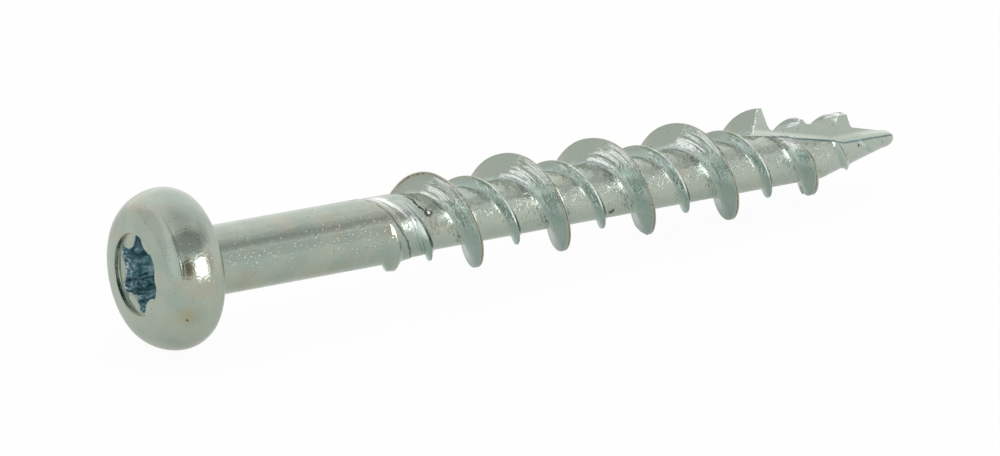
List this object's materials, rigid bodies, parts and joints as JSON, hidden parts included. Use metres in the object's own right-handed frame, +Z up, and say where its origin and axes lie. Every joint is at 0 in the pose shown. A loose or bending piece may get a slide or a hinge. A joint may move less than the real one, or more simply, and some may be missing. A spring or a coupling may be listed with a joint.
{
  "type": "multi-purpose screw",
  "caption": "Coarse-threaded wood screw with a pan head, a six-lobe recess, a plain shank, a hi-lo twin thread and a notched cutting point.",
  "frame": {"origin": "centre of the lying screw's bounding box, on the surface it rests on", "axes": "+X along the screw from the head toward the point, tilted down by 2.22 degrees; +Z up"},
  "size_m": [0.0678, 0.0118, 0.0118],
  "materials": {
    "zinc": "satin zinc plating with a pale blue-green tint"
  },
  "bodies": {
    "root": {"screw": "zinc"}
  },
  "joints": []
}
